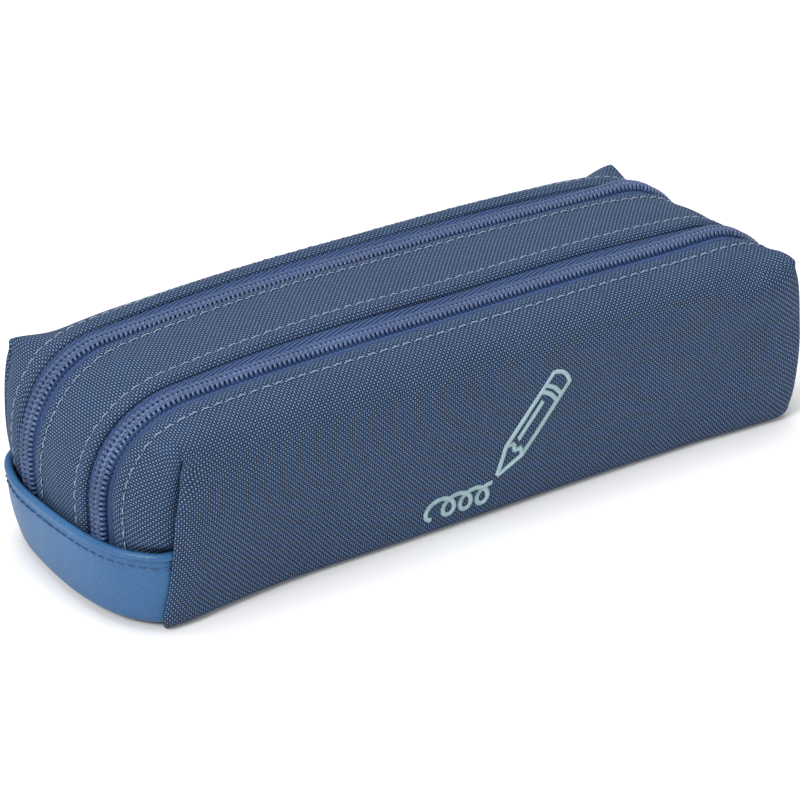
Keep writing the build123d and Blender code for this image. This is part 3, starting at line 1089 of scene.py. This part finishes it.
stitching = {
    "pitch": 3.55,
    "length": 2.75,
    "radius": 0.165,
    "rise": 0.13,       # height of a stitch's arch, and depth of its ends
    "sink": 0.34,
    "lift": 0.2,        # above the strip, and above the flaps
    "flapLift": 0.22,
    "endGap": 4,        # from the path's ends
}


# short arched threads that dip into the cloth at both ends
def stitchRoutes(place, length, pitch, stitch, rise, sink):
    t = np.linspace(0, 1, 7)
    arch = rise * np.sin(math.pi * t) ** 0.6 - sink * (1 - np.sin(math.pi * t) ** 0.5)
    routes = []
    for start in np.arange(0.6, length - pitch, pitch):
        d = start + rng.uniform(-0.12, 0.12) + t * (stitch + rng.uniform(-0.2, 0.15))
        routes.append(place(d, arch, rng.uniform(-0.10, 0.10)))
    return np.array(routes)


def stripStitchPlace(side, kind):
    def place(d, arch, slip):
        s = d - pathEnd + stitching["endGap"]
        y = side * (innerFold - cloth["stitchLine"])
        edge = math.exp(-cloth["stitchLine"] / 3.5)
        height = hemHeight(cloth["stitchLine"]) + plumpness(y) + 0.6 * wave(s, kind) * edge
        return onPath(s, y + slip, height + cloth["stripRise"] + stitching["lift"] + arch)
    return place


def bandStitchPlace(which):
    columns = np.arange(60)
    grid = bandPoint(which, pathSamples, columns / columns[-1])
    index = [np.interp(cloth["stitchLine"], row, columns) for row in stepsAcross(grid)]
    line, out = [
        np.array([valuesAt(k, columns, row) for k, row in zip(index, table)])
        for table in (grid, surfaceNormals(grid))
    ]

    def place(d, arch, slip):
        s = d - pathEnd + stitching["endGap"]
        near = 0.5 * wave(s, 3) * math.exp(-cloth["stitchLine"] / 4.0)
        height = hemHeight(cloth["stitchLine"]) + near + stitching["flapLift"] + arch
        at = valuesAt(s, pathSamples, line) + valuesAt(s, pathSamples, out) * height[:, None]
        at[:, 1] += slip
        return at * [1, outwardSign(which), 1]
    return place


def makeStitches(name, node, place):
    look = stitching
    length = 2 * (pathEnd - look["endGap"])
    routes = stitchRoutes(place, length, look["pitch"], look["length"], look["rise"], look["sink"])
    mesh = tubesMesh(name, routes, look["radius"])
    makeObject(name, mesh, node, topThread)


for which in ("front", "rear"):
    makeStitches(f"{which}PanelStitches", f"{which}_panel_stitching", bandStitchPlace(which))
for which, side, kind in (("front", -1, 1), ("rear", 1, 2)):
    name = f"strip{which.capitalize()}Stitches"
    makeStitches(name, f"strip_{which}_stitching", stripStitchPlace(side, kind))
print("stage: stitches")


tab = {
    "top": 21.6,
    "foot": 1.6,
    "bead": 1.15,           # radius of the rolled top edge
    "thickness": 0.5,
    "stitchZ": 17.7,
    "pitch": 3.0,
    "stitch": 2.35,
    "stitchRadius": 0.25,
    "backing": -1.9,        # the backing's depth from the tab's line
}

# the tab's line in plan, from the rear seam round the end into the groove of the front seam
tabPlan = np.array([
    (-97.6, 37.0), (-101.6, 36.4), (-106.0, 32.6), (-109.4, 26.0), (-111.6, 17.0),
    (-112.2, 6.0), (-112.1, -4.0), (-111.5, -13.0), (-110.2, -20.5), (-108.0, -26.8),
    (-105.2, -31.0), (-102.4, -34.0), (-99.8, -35.3), (-97.2, -35.7),
])


def lengthsOf(points):
    return np.concatenate([[0], np.linalg.norm(np.diff(points, axis=0), axis=1).cumsum()])


# places along the tab's line with their outward directions and lengths
def tabLine(count):
    knots = range(len(tabPlan))
    steps = np.linspace(0, len(tabPlan) - 1, count)
    places = stacked(*(smoothly(steps, knots, column) for column in tabPlan.T))
    ahead = unit(np.gradient(places, axis=0))
    return places, stacked(ahead[:, 1], -ahead[:, 0]), lengthsOf(places)


# outward and up: up the inside, over the rolled top edge, down the face and round the foot
def tabSection():
    bead = tab["bead"]
    beadZ = tab["top"] - bead
    turn = np.radians(np.linspace(200, -62, 15))
    under = [(-1.5, beadZ - 2.6), (-1.5, beadZ - 1.2)]
    rolled = [(-0.35 + bead * math.cos(a), beadZ + bead * math.sin(a)) for a in turn]
    heights = np.linspace(beadZ - 2.0, tab["foot"] + 1.0, 28)
    drawnIn = 1.3 * (1 - heights / 12) ** 2 * (heights < 12)
    wall = list(zip(0.12 + 0.35 * np.sin(math.pi * heights / beadZ) - drawnIn, heights))
    foot = [(depth, tab["foot"] + z) for depth, z in ((-1.1, 0.4), (-1.5, 0), (-2.1, 0), (-2.6, 0.5))]
    return np.array(under + rolled + [(0.05, beadZ - 1.6)] + wall + foot)


tabPlaces, tabOut, tabLengths = tabLine(260)


def onTab(d, depth, z):
    x, y = np.moveaxis(valuesAt(d, tabLengths, tabPlaces), -1, 0)
    outX, outY = np.moveaxis(valuesAt(d, tabLengths, tabOut), -1, 0)
    return stacked(x + outX * depth, y + outY * depth, z)


# the tab leans with the rear of the left end
def tabLean(d, z):
    return cloth["lean"] * (1 - ease(20, 55, d))[:, None] * (1 - ease(0, 21, z))


def makeTab():
    section = tabSection()
    offset, z = section[:, 0], section[:, 1]
    dimple = 0.22 * hump(z - tab["stitchZ"], 0.5)
    beat = 0.55 + 0.45 * np.cos(tabLengths / tab["pitch"] * 2 * math.pi)
    slow = 0.15 * np.sin(tabLengths / 9)[:, None] * np.sin(z / 7)
    depth = offset - dimple * beat[:, None] + slow - tabLean(tabLengths, z)
    points = onTab(tabLengths[:, None], depth, z)
    mesh = gridMesh("endTab", points, stacked(tabLengths[:, None], z))
    makeObject("endTabLeather", mesh, "end_tab", leatherMaterial, tab["thickness"])


def makeTabBacking():
    d = np.linspace(3.0, tabLengths[-1] - 3.0, 120)
    z = np.linspace(tab["foot"] + 2.5, tab["top"] - 3.5, 12)
    points = onTab(d[:, None], tab["backing"] - tabLean(d, z), z)
    mesh = gridMesh("tabBacking", points, points[..., 1:])
    makeObject("endTabBacking", mesh, "end_tab_backing", liningMaterial, 0.3)


def makeTabStitches():
    def place(d, arch, slip):
        return onTab(d, 0.36 + arch, tab["stitchZ"] + slip * 0.5)

    routes = stitchRoutes(place, tabLengths[-1], tab["pitch"], tab["stitch"], 0.10, 0.42)
    mesh = tubesMesh("tabStitches", routes, tab["stitchRadius"])
    makeObject("endTabStitches", mesh, "end_tab_stitching", tabThread)


makeTab()
makeTabBacking()
makeTabStitches()
print("stage: tab")


# embroidered sign on the front: a pencil and the line that it draws, in satin stitch
sign = {
    "pointX": 0.5,
    "pointZ": 12.5,
    "length": 31.0,
    "width": 7.0,
    "neck": 8.0,            # length of the sharpened part
    "angle": 52.0,
    "loops": 3.5,           # of the drawn line
    "loopStep": 0.86,
    "thread": 0.17,
    "pitch": 0.34,
    "stroke": 1.25,
    "rise": 0.42,
}


def polylineAt(points, gap):
    points = np.asarray(points, float)
    lengths = lengthsOf(points)
    d = np.arange(gap / 2, lengths[-1], gap)
    at, ahead, behind = [valuesAt(d + shift, lengths, points) for shift in (0, 0.15, -0.15)]
    return at, unit(ahead - behind)


def signStrokes():
    turn = math.radians(sign["angle"])
    length, half, neck = sign["length"], sign["width"] / 2, sign["neck"]

    def place(points):
        return [(sign["pointX"] + u * math.cos(turn) - v * math.sin(turn),
                 sign["pointZ"] + u * math.sin(turn) + v * math.cos(turn)) for u, v in points]

    bow = [(length + 1.2 * math.sin(math.pi * k / 8), half - k / 8 * 2 * half) for k in range(9)]
    strokes = [
        place([(0, 0), (neck, half)]),
        place([(0, 0), (neck, -half)]),
        place([(neck, half)] + bow + [(neck, -half)]),
        place([(neck + (k % 2) * 1.5, half * v) for k, v in enumerate((1, 0.45, 0, -0.45, -1))]),
        *(place([(u, half), (u + 0.6, 0), (u, -half)]) for u in (length - 6, length - 4)),
        place([(neck + 3.0, half * 0.30), (length - 8.0, half * 0.30)]),
    ]
    loops = []
    for a in np.linspace(0, sign["loops"] * 2 * math.pi, 150):
        loopX = sign["pointX"] - 1.5 - sign["loopStep"] * a - 3.0 * math.sin(a)
        loopZ = sign["pointZ"] - 1.7 + 2.79 * (math.cos(a) - 1)
        loops.append((loopX, loopZ))
    strokes.append(loops)
    return strokes


def makeSign():
    routes = []
    t = np.linspace(-1, 1, 7)
    for stroke in signStrokes():
        at, ahead = polylineAt(stroke, sign["pitch"])
        side = stacked(-ahead[:, 1], ahead[:, 0])
        for p, f, n in zip(at, ahead, side):
            half = sign["stroke"] / 2 * (1 + rng.uniform(-0.06, 0.06))
            line = p + n * half * t[:, None] + f * 0.22 * t[:, None]
            depth = faceDepth("front", line[:, 0], line[:, 1])
            lift = sign["rise"] * (1 - t ** 2) ** 0.6 - 0.12
            routes.append(stacked(line[:, 0], -depth - lift, line[:, 1]))
    mesh = tubesMesh("sign", routes, sign["thread"], sides=5)
    makeObject("embroideredSign", mesh, "embroidered_sign", signThread)


makeSign()
print("stage: sign")


# each lining is a tube with rounded corners, lower and narrower towards its ends
lining = {
    "thickness": 0.3,
    "near": 0.9,            # from the divider
    "floor": 3.0,
    "tops": ((0, 82, 95, 102), (51.0, 48.5, 40.0, 30.0)),
    "depths": ((0, 88, 102), (34.0, 33.0, 28.0)),
    "corner": 0.35,
}


def makeLining(which, side):
    angles = np.linspace(0, 2 * math.pi, 48, endpoint=False)
    across, up = [np.sign(c) * np.abs(c) ** lining["corner"] for c in (np.cos(angles), np.sin(angles))]
    near, floor = lining["near"], lining["floor"]
    rows = []
    for x in np.linspace(-102, 102, 60):
        top = np.interp(abs(x), *lining["tops"])
        depth = np.interp(abs(x), *lining["depths"])
        y = side * (near + depth) / 2 + (depth - near) / 2 * across
        rows.append(stacked(x, y, (top + floor) / 2 + (top - floor) / 2 * up))
    points = np.array(rows)
    mesh = gridMesh(which + "Lining", points, points[..., :2], closed=True)
    name, node = which + "LiningBag", which + "_lining"
    makeObject(name, mesh, node, liningMaterial, lining["thickness"])


makeLining("front", -1)
makeLining("rear", 1)

nodeMaterials = {"divider": liningMaterial}
for which in ("front", "rear"):
    for part in ("_slider", "_slider_bridge", "_pull"):
        nodeMaterials[which + part] = metalMaterial
for node, material in nodeMaterials.items():
    for entry in frame["nodes"][node].material_slots:
        entry.material = material
print("stage: inside and metal")


studio = {
    "azimuth": -35.67,
    "elevation": 26.91,
    "distance": 866.05,
    "target": (-4.42, 0.0, 21.03),
    "lens": 145.5,
    "world": 0.5,
    "keyLight": ((-1.15, -0.35, 0.95), 0.6, 17.0),      # place in metres, size, watts
    "topLight": ((0.1, 0.25, 1.4), 1.2, 16.0),
    "fillLight": ((0.6, -1.1, 0.5), 0.9, 4.0),
}


def makeFloor():
    w = newMaterial("paleFloor")
    grain = w.noise(placeOf(w), 3.0, 2.0)
    w.put(w.mixColor(grain, (0.86, 0.86, 0.86, 1), (0.90, 0.90, 0.90, 1)), w.shader["Base Color"])
    w.put(w.ramp(grain, 0.0, 1.0, 0.55, 0.65), w.shader["Roughness"])
    mesh = bpy.data.meshes.new("floor")
    far = 6.0
    mesh.from_pydata([(-far, -far, 0), (far, -far, 0), (far, far, 0), (-far, far, 0)], [], [(0, 1, 2, 3)])
    mesh.materials.append(w.material)
    floor = addToScene("floor", mesh)
    floor.location.z = -0.0002


def aim(thing, place, way):
    thing.location = place
    thing.rotation_mode = "QUATERNION"
    thing.rotation_quaternion = way.to_track_quat("-Z", "Y")


def addLight(name):
    place, size, energy = studio[name]
    data = bpy.data.lights.new(name, "AREA")
    data.shape = "DISK"
    data.size = size
    data.energy = energy
    aim(addToScene(name, data), Vector(place), Vector((0, 0, 0.03)) - Vector(place))


def makeCamera():
    a, e = math.radians(studio["azimuth"]), math.radians(studio["elevation"])
    back = Vector((math.sin(a) * math.cos(e), -math.cos(a) * math.cos(e), math.sin(e)))
    data = bpy.data.cameras.new("camera")
    data.lens = studio["lens"]
    data.sensor_width = 36.0
    data.clip_start, data.clip_end = 0.01, 20.0
    camera = addToScene("camera", data)
    aim(camera, (Vector(studio["target"]) + back * studio["distance"]) * mm, -back)
    bpy.context.scene.camera = camera


def makeWorld():
    world = bpy.data.worlds.new("studio")
    world.use_nodes = True
    background = world.node_tree.nodes["Background"]
    background.inputs["Color"].default_value = (1.0, 1.0, 1.0, 1)
    background.inputs["Strength"].default_value = studio["world"]
    bpy.context.scene.world = world


makeFloor()
makeWorld()
for name in ("keyLight", "topLight", "fillLight"):
    addLight(name)
makeCamera()
bpy.context.scene.view_settings.view_transform = "Standard"
print("stage: studio")
